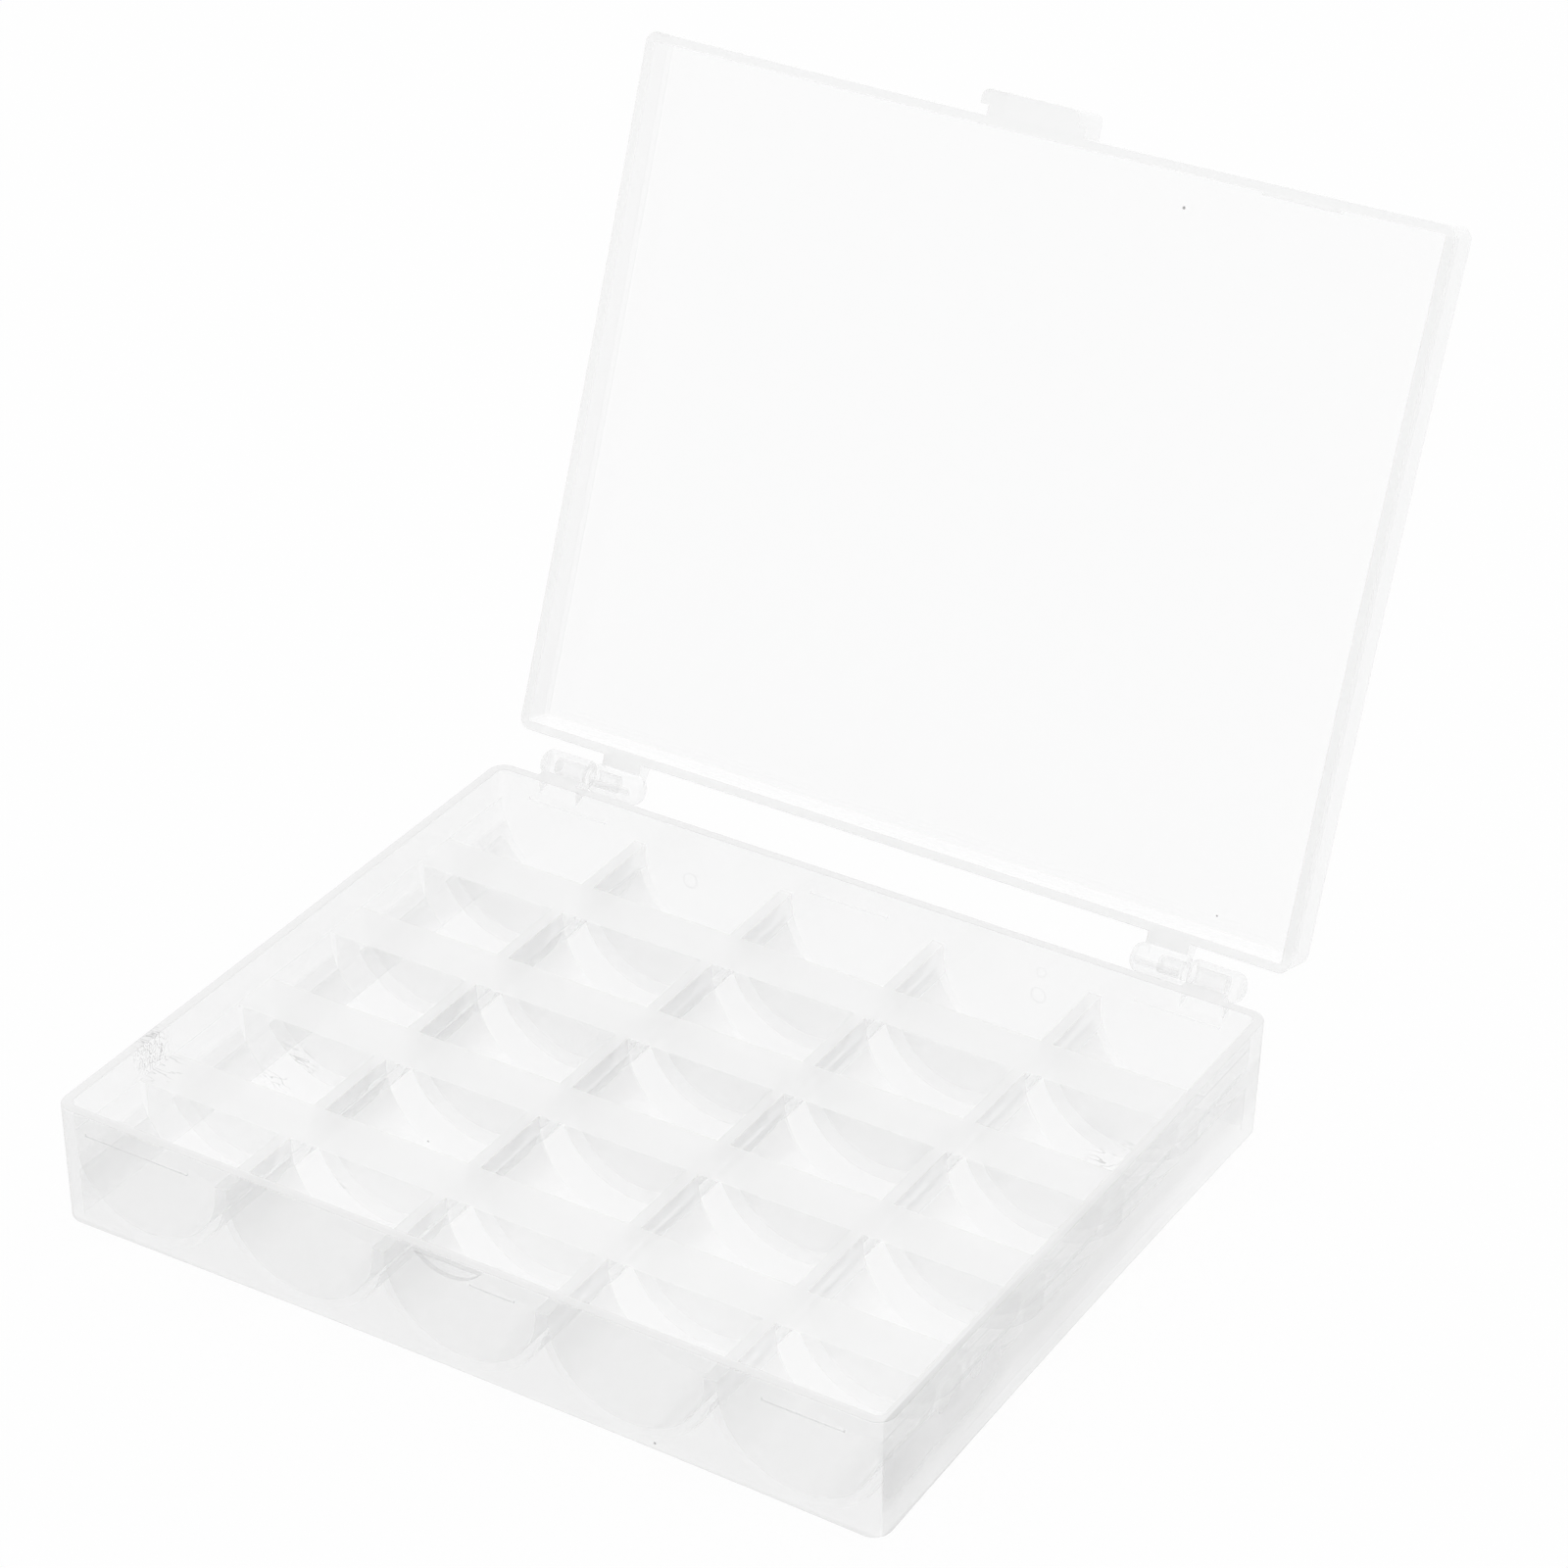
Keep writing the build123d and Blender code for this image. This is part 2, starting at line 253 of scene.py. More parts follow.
class Nodes:
    """Adds nodes to one tree."""

    def __init__(self, tree):
        self.tree = tree

    def plug(self, socket, value):
        if isinstance(value, Wire):
            self.tree.links.new(value.socket, socket)
        elif value is not None:
            socket.default_value = value

    def add(self, kind, settings=None, *values, out=0, **named):
        """A node of a kind: its settings first, then its sockets in order or by name. Returns one output."""
        node = self.tree.nodes.new(kind)
        for key, value in (settings or {}).items():
            setattr(node, key, value)
        for socket, value in zip(node.inputs, values):
            self.plug(socket, value)
        for key, value in named.items():
            self.plug(next(s for s in node.inputs if s.enabled and s.name == key.replace("_", " ")), value)
        source = node.outputs[out] if isinstance(out, int) else next(
            s for s in node.outputs if s.enabled and s.name == out)
        return Wire(self, source)

    def mix(self, factor, first, second):
        """A colour between two colours."""
        node = self.tree.nodes.new("ShaderNodeMix")
        node.data_type = "RGBA"
        for socket, value in zip((node.inputs[0], node.inputs[6], node.inputs[7]), (factor, first, second)):
            self.plug(socket, value)
        return Wire(self, node.outputs[2])

    def vector(self, operation, *values, **named):
        """Vector arithmetic. A dot product, a length or a distance comes back as one number."""
        out = "Value" if operation in ("DOT_PRODUCT", "LENGTH", "DISTANCE") else 0
        return self.add("ShaderNodeVectorMath", {"operation": operation}, *values, out=out, **named)

    def part(self, vector, axis):
        """One of a vector's three numbers."""
        return self.add("ShaderNodeSeparateXYZ", {}, vector, out=axis)

    def noise(self, place, **named):
        """Soft noise between 0 and 1."""
        return self.add("ShaderNodeTexNoise", {}, Vector=place, out="Fac", **named)

    def rays(self, *kinds):
        """1 for rays of these kinds, otherwise 0."""
        return highest([self.add("ShaderNodeLightPath", out=f"Is {kind} Ray") for kind in kinds])

    def sink(self, kind, **named):
        """The tree's output node."""
        node = self.tree.nodes.new(kind)
        for key, value in named.items():
            self.plug(node.inputs[key], value)


def fresh_nodes(holder):
    """Empty node tree of a material or of the world."""
    holder.use_nodes = True
    holder.node_tree.nodes.clear()
    return Nodes(holder.node_tree)


# ---- Meshes ------------------------------------------------------------------------------

def loft(name, rings):
    """Closed mesh through rings of points, with a flat cap on each end."""
    mesh = bmesh.new()
    loops = [[mesh.verts.new(point) for point in ring] for ring in rings]
    count = len(rings[0])
    for lower, upper in zip(loops, loops[1:]):
        for i in range(count):
            j = (i + 1) % count
            mesh.faces.new((lower[i], lower[j], upper[j], upper[i]))
    mesh.faces.new(loops[0])
    mesh.faces.new(loops[-1])
    bmesh.ops.recalc_face_normals(mesh, faces=mesh.faces)
    data = bpy.data.meshes.new(name)
    mesh.to_mesh(data)
    mesh.free()
    made = bpy.data.objects.new(name, data)
    bpy.context.scene.collection.objects.link(made)
    return made


def baked(made):
    """The object as its modifiers leave it, as a plain mesh."""
    graph = bpy.context.evaluated_depsgraph_get()
    mesh = bpy.data.meshes.new_from_object(made.evaluated_get(graph))
    made.modifiers.clear()
    made.data = mesh
    return made


def combine(base, operation, *others, solver="EXACT", overlapping=False):
    """base with the others added (UNION), cut away (DIFFERENCE) or as the common part (INTERSECT)."""
    for other in others:
        step = base.modifiers.new("Combine", "BOOLEAN")
        step.solver = solver
        step.use_self = overlapping
        step.operation = operation
        step.object = other
    baked(base)
    for other in others:
        bpy.data.objects.remove(other)
    if not base.data.polygons:
        raise RuntimeError(f"{base.name} came out empty")
    return base


def rounded_ring(half_x, half_y, corner, z, side_bow=0.0, front_bow=0.0, back_bow=None, steps=28, turn=8):
    """Rounded rectangle at one height, whose sides pull in half way between its corners."""
    back_bow = front_bow if back_bow is None else back_bow
    x, y = half_x - corner, half_y - corner
    points = []
    # Each side: outward, along it, how far out it lies, half its straight length, and its bow
    for out, along, reach, far, bow in (
        (Vector((1, 0)), Vector((0, 1)), half_x, y, side_bow),
        (Vector((0, 1)), Vector((-1, 0)), half_y, x, back_bow),
        (Vector((-1, 0)), Vector((0, -1)), half_x, y, side_bow),
        (Vector((0, -1)), Vector((1, 0)), half_y, x, front_bow),
    ):
        for i in range(steps + 1):
            t = 2 * i / steps - 1
            points.append(out * (reach - bow * (1 - t * t)) + along * far * t)
        centre = out * (reach - corner) + along * far
        for i in range(1, turn):
            a = math.pi / 2 * i / turn
            points.append(centre + out * corner * math.cos(a) + along * corner * math.sin(a))
    return [Vector((p.x, p.y, z)) for p in points]


def circle_ring(x, radius, steps=48):
    """Circle about the hinge axis, at one place along it."""
    return [
        Vector((x, HINGE.y + radius * math.cos(a), HINGE.z + radius * math.sin(a)))
        for a in (2 * math.pi * i / steps for i in range(steps))
    ]


def box(name, low, high):
    """Plain block between two corners, as a cutter or a small moulded rib."""
    (x0, y0, z0), (x1, y1, z1) = low, high
    outline = ((x0, y0), (x1, y0), (x1, y1), (x0, y1))
    return loft(name, [[Vector((x, y, z)) for x, y in outline] for z in (z0, z1)])


def rounding(radius, steps, backwards=False):
    """Steps round a quarter circle: how far in from the side, and how far short of the end."""
    for i in range(steps, -1, -1) if backwards else range(steps + 1):
        a = math.pi / 2 * i / steps
        yield radius * (1 - math.cos(a)), radius * (1 - math.sin(a))


def rounded_loft(name, ring, low, high, low_edge, high_edge):
    """Closed mesh with rounded ends. ring(place, inward) is its outline, an edge is a radius and its steps."""
    rings = [ring(low + short, inward) for inward, short in rounding(*low_edge, backwards=True)]
    rings += [ring(high - short, inward) for inward, short in rounding(*high_edge)]
    return loft(name, rings)


def finish_mesh(made):
    """One point where several nearly meet, smooth round faces and flat flats."""
    weld = made.modifiers.new("Weld", "WELD")
    weld.merge_threshold = 0.003 * MM
    data = baked(made).data
    data.shade_smooth()
    data.set_sharp_from_angle(angle=math.radians(32))
    weighted = made.modifiers.new("Normals", "WEIGHTED_NORMAL")
    weighted.keep_sharp = True
    weighted.weight = 80
    return baked(made)


# ---- Grid of wells -------------------------------------------------------------------------

def bars_tree():
    """Geometry Nodes: a grid of round-bottomed bars, with the front and back row run on further."""
    tree = bpy.data.node_groups.new("Round-bottomed bars", "GeometryNodeTree")
    sockets = {}
    for name, kind in (
        ("Columns", "Int"), ("Rows", "Int"), ("Segments", "Int"), ("Column pitch", "Float"),
        ("Row pitch", "Float"), ("Radius", "Float"), ("Length", "Float"), ("Centre height", "Float"),
        ("Height above centre", "Float"), ("Run on", "Float"), ("Material", "Material"),
    ):
        socket = tree.interface.new_socket(name, in_out="INPUT", socket_type=f"NodeSocket{kind}")
        sockets[name] = socket.identifier
    tree.interface.new_socket("Bars", in_out="OUTPUT", socket_type="NodeSocketGeometry")
    n = Nodes(tree)
    source = tree.nodes.new("NodeGroupInput")
    size = {s.name: Wire(n, s) for s in source.outputs if s.name}

    # One bar: a cylinder whose upper half is pushed out to a square outline. Points at half height stay.
    rod = n.add("GeometryNodeMeshCylinder", {}, Vertices=size["Segments"], Radius=size["Radius"],
                Depth=size["Length"], out="Mesh")
    place = n.add("GeometryNodeInputPosition")
    x, y, z = (n.part(place, axis) for axis in range(3))
    hair = size["Radius"] * 0.001
    square_x = (x * math.sqrt(2)).least(size["Radius"]).most(0.0 - size["Radius"])
    square_y = (y * math.sqrt(2)).least(size["Radius"]) / size["Radius"] * size["Height above centre"]
    moved = n.add("ShaderNodeCombineXYZ", {}, square_x, square_y, z)
    rod = n.add("GeometryNodeSetPosition", {}, Geometry=rod, Selection=y > hair, Position=moved)
    lift = n.add("ShaderNodeCombineXYZ", {}, 0.0, 0.0, size["Centre height"])
    bar = n.add("GeometryNodeTransform", {}, Geometry=rod, Translation=lift, Rotation=(math.pi / 2, 0.0, 0.0))

    # The grid it stands on. Bars of the first and last row are longer, outwards.
    span_x = (size["Columns"] - 1.0) * size["Column pitch"]
    span_y = (size["Rows"] - 1.0) * size["Row pitch"]
    points = n.add("GeometryNodeMeshGrid", {}, Size_X=span_x, Size_Y=span_y, Vertices_X=size["Columns"],
                   Vertices_Y=size["Rows"], out="Mesh")
    row_y = n.part(n.add("GeometryNodeInputPosition"), 1)
    almost_at_end = span_y * 0.49
    at_end = abs(row_y) > almost_at_end
    outward = row_y.maths("SIGN", row_y)
    shift = n.add("ShaderNodeCombineXYZ", {}, 0.0, outward * at_end * size["Run on"] / 2.0, 0.0)
    points = n.add("GeometryNodeSetPosition", {}, Geometry=points, Offset=shift)
    stretch = n.add("ShaderNodeCombineXYZ", {}, 1.0, 1.0 + at_end * size["Run on"] / size["Length"], 1.0)
    grid = n.add("GeometryNodeInstanceOnPoints", {}, Points=points, Instance=bar, Scale=stretch)
    real = n.add("GeometryNodeRealizeInstances", {}, Geometry=grid)
    real = n.add("GeometryNodeSetMaterial", {}, Geometry=real, Material=size["Material"])
    n.sink("NodeGroupOutput", Bars=real)
    return tree, sockets


def bars(name, tree, sockets, material, **values):
    """One grid of bars as a plain mesh."""
    holder = bpy.data.objects.new(name, bpy.data.meshes.new(name))
    bpy.context.scene.collection.objects.link(holder)
    step = holder.modifiers.new("Bars", "NODES")
    step.node_group = tree
    for key, value in values.items():
        step[sockets[key.replace("_", " ")]] = value
    step[sockets["Material"]] = material
    return baked(holder)


# ---- Material --------------------------------------------------------------------------------

# Painted shade on the outside of the right wall: by height above the foot, and from the front to the back
SHADE_FOOT, SHADE_GAIN, SHADE_LOSS = 0.75, 0.65, 0.6  # at the foot, gained higher up, lost again near the rim
SHADE_GAIN_FROM, SHADE_GAIN_OVER = 3.5 * MM, 3 * MM
SHADE_LOSS_FROM, SHADE_LOSS_OVER = 11.5 * MM, 1.5 * MM
SHADE_FRONT, SHADE_FADE = 1.5, 1.1  # at the front, and lost towards the back
SHADE_FADE_FROM, SHADE_FADE_OVER = -48 * MM, 80 * MM
# The outer faces lie less than this inside the rim's outline
RIGHT_DEPTH, FRONT_DEPTH, RIM_DEPTH = 0.9 * MM, 1.4 * MM, 0.25 * MM
RIM_SHADE_SPARED = 0.55  # of the painted shade is missing on the rim, which has a haze of its own
FULL_SHADE_GREY = 0.1  # share of painted shade from which the haze has the full grey of the painted shade

DARK = (0.12, 0.12, 0.12, 1.0)  # specks and scratches
DARK_MOST = 0.7  # share that the darkest of them covers
WHITE = (1.0, 1.0, 1.0, 1.0)


def ramp(value, width):
    """0 where the value is below 0, 1 where it is above the width."""
    return (value / width).least(1.0).most(0.0)


def highest(masks):
    """The strongest of several masks."""
    top = masks[0]
    for mask in masks[1:]:
        top = top.most(mask)
    return top


def dimmed(tone, factor):
    """A colour made darker, with full alpha."""
    return tuple(v * factor for v in tone[:3]) + (1.0,)


def streak(n, place, start, end, radius):
    """Mask of a thin mark between two points, or of a speck where both are the same. In millimetres."""
    start, end = Vector(start) * MM, Vector(end) * MM
    away = n.vector("SUBTRACT", place, start)
    run = end - start
    if run.length:
        along = n.vector("DOT_PRODUCT", away, run.normalized())
        nearest = n.vector("SCALE", run.normalized(), Scale=along.most(0.0).least(run.length))
        distance = n.vector("DISTANCE", away, nearest)
    else:
        distance = n.vector("LENGTH", away)
    return ramp(radius * MM - distance, 0.5 * radius * MM)


def flat_face(n, place, point, outward):
    """Mask of the faces that lie in one plane and look one way."""
    off = n.vector("DOT_PRODUCT", n.vector("SUBTRACT", place, point), outward)
    facing = n.vector("DOT_PRODUCT", n.add("ShaderNodeTexCoord", out="Normal"), outward)
    return ramp(0.3 * MM - abs(off), 0.1 * MM) * ramp(facing - 0.5, 0.2)


def ejector_mark(n, place, centre, radius):
    """Mask of a thin ring about a point. In millimetres."""
    away = n.vector("DISTANCE", place, Vector(centre) * MM)
    return ramp(0.22 * MM - abs(away - radius * MM), 0.15 * MM)


def shaded(n, place, plastic, right, front, top):
    """Share of painted shade on the outside of the right and front walls, less of it on the rim."""
    shade_noise = n.noise(place, Scale=60.0, Detail=2.0, Roughness=0.5)
    x, y, z = (n.part(place, axis) for axis in range(3))
    by_height = (SHADE_FOOT + SHADE_GAIN * ramp(z - SHADE_GAIN_FROM, SHADE_GAIN_OVER)
                 - SHADE_LOSS * ramp(z - SHADE_LOSS_FROM, SHADE_LOSS_OVER))
    by_depth = SHADE_FRONT - ramp(y - SHADE_FADE_FROM, SHADE_FADE_OVER) * SHADE_FADE
    on_right = ramp(x - (right - RIGHT_DEPTH), 0.2 * MM) * by_height * by_depth
    on_front = ramp(front + FRONT_DEPTH - y, 0.5 * MM)
    on_rim = ramp(z - (top - RIM_DEPTH), 0.1 * MM)
    shade_share = (on_right * plastic.right_painted_shade * (0.5 + shade_noise)).most(on_front * plastic.front_painted_shade)
    return shade_share * (1.0 - RIM_SHADE_SPARED * on_rim)


def clear_plastic(piece, plastic, painted_shade_walls=None, flats=(), steep_within=None,
                  specks=(), streaks=(), rings=(), scuffs=()):
    """Clear moulded plastic: faint haze, flow waves, painted shade on the tray's outer walls, rim and ridge tops,
    specks, scratches and ejector marks.
    """
    haze, skim, gloss = (getattr(plastic, f"{piece}_{kind}") for kind in ("haze", "skim", "gloss"))
    material = bpy.data.materials.new(f"{piece}_plastic")
    n = fresh_nodes(material)
    place = n.add("ShaderNodeTexCoord", out="Object")
    cloud = n.noise(place, Scale=45.0, Detail=4.0, Roughness=0.55)
    waves = n.noise(place, Scale=70.0, Detail=1.0)
    edge_on = n.add("ShaderNodeLayerWeight", {}, Blend=0.5, out="Facing") ** 2.0
    tint = n.mix(cloud, dimmed(plastic.tint, 0.995), tuple(plastic.tint))
    frost = n.mix(cloud, dimmed(plastic.frost, 0.96), tuple(plastic.frost))

    # Rims and the tops of ridges are duller than the walls, and on the tray part of that haze takes the grey of the
    # painted shade
    flat = highest([flat_face(n, place, point, outward) * dull for point, outward, dull in flats]) if flats else 0.0
    shade_share = 0.0
    # Painted shade: a greyer, stronger haze darkens the outside of the right and front walls and the tray's rim and
    # ridge tops
    if painted_shade_walls:
        shade_share = shaded(n, place, plastic, *painted_shade_walls).most(flat * plastic.flat_painted_shade)
        frost = n.mix(ramp(shade_share, FULL_SHADE_GREY), frost, tuple(plastic.painted_shade_grey))
    share_seen = haze * (0.8 + 0.4 * cloud) + skim * edge_on + shade_share + flat
    if steep_within:
        # The wells' steep sides scuffed on the mould
        sideways = abs(n.part(n.add("ShaderNodeTexCoord", out="Normal"), 0))
        inside = ramp(steep_within - abs(n.part(place, 0)), 0.2 * MM)
        share_seen = share_seen + ramp(sideways - 0.6, 0.35) * inside * plastic.steep_haze

    height = waves * 0.3
    if rings:
        # Round marks that the mould's ejector pins leave
        marks = highest([ejector_mark(n, place, centre, radius) for centre, radius in rings])
        share_seen = share_seen + marks * 0.1 * cloud
        height = height + marks

    dark = [streak(n, place, centre, centre, radius) for centre, radius in specks]
    dark += [streak(n, place, start, end, radius) * (0.4 + cloud) for start, end, radius in streaks]
    if scuffs:
        # Bundles of fine scratches
        turned = n.add("ShaderNodeMapping", {}, Vector=place, Rotation=(0.0, 0.0, 0.35),
                       Scale=(260.0, 1500.0, 900.0))
        threads = n.noise(turned, Scale=1.0, Detail=1.5)
        threads = ramp(0.035 - abs(threads - 0.5), 0.025) * 0.6
        dark += [streak(n, place, centre, centre, radius) * threads for centre, radius in scuffs]
    if dark:
        dark = highest(dark)
        frost = n.mix(dark, frost, DARK)
        share_seen = share_seen.most(dark * DARK_MOST)

    bumps = n.add("ShaderNodeBump", {}, Strength=0.15, Distance=0.0003, Height=height, out="Normal")
    clear = n.add("ShaderNodeBsdfPrincipled", {}, Base_Color=tint, Roughness=0.0, IOR=1.0,
                  Transmission_Weight=1.0, Coat_Weight=gloss, Coat_Roughness=0.05, Normal=bumps)
    veil = n.add("ShaderNodeBsdfPrincipled", {}, Base_Color=frost, Roughness=0.4 + 0.2 * cloud, IOR=1.49,
                 Normal=bumps)
    surface = n.add("ShaderNodeMixShader", {}, share_seen, clear, veil)
    # Soft light reaches the inner walls and the floor through the outer ones
    passing = n.add("ShaderNodeBsdfTransparent", {}, Color=WHITE)
    surface = n.add("ShaderNodeMixShader", {}, n.rays("Shadow", "Diffuse"), surface, passing)
    depth = n.add("ShaderNodeVolumeAbsorption", {}, Color=tuple(plastic.body), Density=plastic.density)
    n.sink("ShaderNodeOutputMaterial", Surface=surface, Volume=depth)
    return material


def hand_over(made, body, slot, *nodes):
    """Puts a piece under the body that it moves with and hides the CAD nodes it stands for. slot, its finish, is not
    used.
    """
    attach(made, body)
    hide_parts(*nodes)


# ---- Pieces ------------------------------------------------------------------------------------

class Box:
    """Sizes that follow from the sizes given."""

    def __init__(self, scene):
        tray, lid, hinge = scene.thread_tray, scene.thread_lid, scene.thread_hinge
        self.column_pitch = 2 * tray.well_radius + tray.divider
        self.row_pitch = tray.well_length + tray.ridge
        self.half_x = (tray.columns * self.column_pitch - tray.divider) / 2 + tray.margin + tray.wall
        self.half_y = (tray.rows * self.row_pitch - tray.ridge) / 2 + tray.margin + tray.wall
        self.well_centre = tray.well_radius + tray.sheet - tray.flat
        self.deck = self.well_centre + tray.straight
        self.height = self.deck + tray.rim
        self.lid_rim = self.height + lid.gap
        self.lid_top = self.lid_rim + lid.height
        self.lid_half_x, self.lid_half_y = self.half_x - lid.inset, self.half_y - lid.inset
        self.tray_barrel_x = self.half_x - hinge.from_side + hinge.gap / 2
        self.lid_barrel_x = self.half_x - hinge.from_side - hinge.gap / 2


def tray_ring(scene, size, z, inset, corner, extra=0.0):
    """The tray's outline at a height, inset from its outer face."""
    tray = scene.thread_tray
    depth = (size.height - z) / size.height
    return rounded_ring(
        size.half_x - tray.lean * depth - inset, size.half_y - tray.lean * depth - inset, corner, z + extra,
        tray.side_bow * depth, tray.front_bow * depth,
    )


def knuckle(side, open_end, away, barrel_length, setback, wall_y, rim_z, up, bore_radius, bore_depth, hinge):
    """Hinge barrel with its web and its blind bore."""
    def at(distance):
        return side * open_end + side * away * distance

    barrel = rounded_loft("barrel", lambda distance, inward: circle_ring(at(distance), hinge.barrel_radius - inward),
                          0.0, barrel_length, (hinge.mouth, 3), (hinge.nose, 8))
    just_inside = HINGE.z + up * hinge.barrel_radius * 0.998
    profile = ((wall_y, rim_z), (HINGE.y, rim_z), (HINGE.y, just_inside), (wall_y, rim_z + up * hinge.lug_height))
    web = loft("Web", [[Vector((at(setback + d), y, z)) for y, z in profile] for d in (0.0, hinge.lug_width)])
    bore = loft("Bore", [circle_ring(at(d), bore_radius) for d in (-PAST, bore_depth)])
    return combine(combine(barrel, "UNION", web), "DIFFERENCE", bore)


class THREADBOX_OT_tray(bpy.types.Operator):
    """Build the tray: four walls, the sheet of wells and ridges, two hinge barrels and the catch's nub"""
    bl_idname = "threadbox.tray"
    bl_label = "Tray"
    # Raised marks: middle, from the tray's middle, and length, in millimetres
    FRONT_RIBS = ((-47.0, 15.8), (6.0, 6.3), (49.1, 11.1))
    BACK_RIBS = ((-47.5, 12.6), (-2.0, 12.0), (47.5, 12.6))
    # Small faults of the moulding and of use, in millimetres
    MARKS = {
        "specks": (((-29.2, -12.7, 1.3), 0.25), ((28.5, -48.9, 1.2), 0.25), ((2.4, -10.6, 1.4), 0.18)),
        "streaks": (
            ((-57.6, -48.9, 15.6), (-56.6, -48.9, 3.2), 0.09), ((-37.0, 9.6, 3.2), (-35.2, 6.4, 2.0), 0.32),
            ((25.0, -48.1, 9.4), (25.7, -48.1, 5.4), 0.2), ((40.0, -48.2, 10.2), (46.5, -48.2, 9.6), 0.1),
            ((-58.1, -36.5, 15.9), (-58.0, -24.0, 14.0), 0.09), ((-58.1, -27.0, 13.4), (-57.9, -12.0, 12.6), 0.08),
        ),
        "rings": (((-27.2, 48.0, 9.5), 1.1), ((27.2, 48.0, 9.9), 1.1), ((27.4, 48.0, 13.5), 0.7)),
        "scuffs": (((-54.0, -10.0, 1.6), 5.0), ((-34.5, -9.5, 1.5), 5.0), ((-58.0, -31.0, 15.0), 4.5),
                   ((-32.5, -30.5, 1.5), 4.0), ((13.0, 11.5, 1.6), 3.5), ((48.5, 30.0, 1.6), 4.5)),
    }

    def execute(self, context):
        scene = context.scene
        tray, hinge, catch = scene.thread_tray, scene.thread_hinge, scene.thread_catch
        plastic = scene.thread_plastic
        size = Box(scene)
        clear_of_walls = 0.5 * MM
        # The tray's outline sets where the painted shade lies on the right and front walls
        material = clear_plastic("tray", plastic, painted_shade_walls=(size.half_x, -size.half_y, size.height),
                                 flats=[(size.height * UP, UP, plastic.rim_haze),
                                        (size.deck * UP, UP, plastic.ridge_haze)],
                                 steep_within=size.half_x - tray.wall - clear_of_walls, **self.MARKS)

        # Outer block, from its rounded foot to its rounded rim
        body = rounded_loft("tray_shell", lambda z, inward: tray_ring(scene, size, z, inward, tray.corner - inward),
                            0.0, size.height, (tray.foot_round, 4), (tray.rim_round, 4))

        # Room above the ridges, with a rounded inner edge at the rim
        def inner_ring(z, outward=0.0, extra=0.0):
            return tray_ring(scene, size, z, tray.wall - outward, tray.corner - tray.wall + outward, extra)

        rings = [inner_ring(size.deck)]
        rings += [inner_ring(size.height - short, inward) for inward, short in rounding(tray.rim_round, 3)]
        rings.append(inner_ring(size.height, tray.rim_round, PAST))
        combine(body, "DIFFERENCE", loft("room", rings), solver="MANIFOLD")

        # Wells. Above the ridges their cutters stay clear of the wall.
        tree, sockets = bars_tree()
        grid = dict(Columns=tray.columns, Rows=tray.rows, Segments=128, Column_pitch=size.column_pitch,
                    Row_pitch=size.row_pitch, Centre_height=size.well_centre,
                    Height_above_centre=size.deck + PAST - size.well_centre, Run_on=tray.wall)
        wells = bars("wells", tree, sockets, material, Radius=tray.well_radius, Length=tray.well_length, **grid)
        below_wells, clear_of_wall = 0.3 * MM, 0.1 * MM
        within = loft("within", [inner_ring(below_wells), inner_ring(size.deck),
                                 inner_ring(size.deck + PAST, -clear_of_wall)])
        combine(body, "DIFFERENCE", combine(wells, "INTERSECT", within, solver="MANIFOLD"))

        # Hollow underside round the wells
        undersides = bars("undersides", tree, sockets, material, Radius=tray.well_radius + tray.sheet,
                          Length=tray.well_length + 2 * tray.ridge_wall, **grid)
        hollow = loft("hollow", [inner_ring(0.0, extra=-PAST), inner_ring(0.0),
                                 inner_ring(size.deck - tray.ridge_wall)])
        combine(hollow, "DIFFERENCE", undersides, overlapping=True)
        combine(body, "DIFFERENCE", hollow)

        # Hinge barrels on the back wall
        for side in SIDES.values():
            part = knuckle(side, size.tray_barrel_x, 1, hinge.tray_barrel, hinge.tray_setback,
                           size.half_y - tray.wall / 2, size.height, -1, hinge.pin_radius + hinge.tray_fit,
                           hinge.pin_in_tray + hinge.end_play, hinge)
            combine(body, "UNION", part)

        # Half-moon nub below the middle of the front rim
        top, low = size.height - catch.nub_below_rim, catch.nub_height
        half = catch.nub_width / 2
        radius = (half * half + low * low) / (2 * low)
        sweep = math.asin(half / radius)
        rings, half_steps = [], 12
        for y, inward in [(-size.half_y + tray.wall / 2, 0.0)] + [
                (-size.half_y - catch.nub_proud + short, inward) for inward, short in rounding(catch.nub_round, 4)]:
            arc = [(math.sin(a) * (radius - inward), top - low + radius - math.cos(a) * (radius - inward))
                   for a in (sweep * (i / half_steps - 1) * (1 - inward / half) for i in range(2 * half_steps + 1))]
            roof = top - inward
            rings.append([Vector((x, y, min(z, roof))) for x, z in arc])
        combine(body, "UNION", loft("nub", rings))

        # Short raised marks near the rim, outside the front wall and inside the back wall
        for face, below, wall, ribs in ((-1, tray.front_ribs_below, 0.0, self.FRONT_RIBS),
                                        (1, tray.back_ribs_below, tray.wall, self.BACK_RIBS)):
            z = size.height - below
            for middle, reach in ribs:
                middle, reach = middle * MM, reach * MM
                pulled_in = (tray.lean + tray.front_bow * (1 - (middle / size.half_x) ** 2)) * below / size.height
                y = face * (size.half_y - wall - pulled_in)
                combine(body, "UNION", box("rib", (middle - reach / 2, y - tray.rib_proud, z - tray.rib_height / 2),
                                           (middle + reach / 2, y + tray.rib_proud, z + tray.rib_height / 2)))

        body.name = "tray_moulding"
        finish_mesh(body)
        body.data.materials.clear()
        body.data.materials.append(material)
        hand_over(body, "tray", "tray_plastic", "tray")
        return {"FINISHED"}


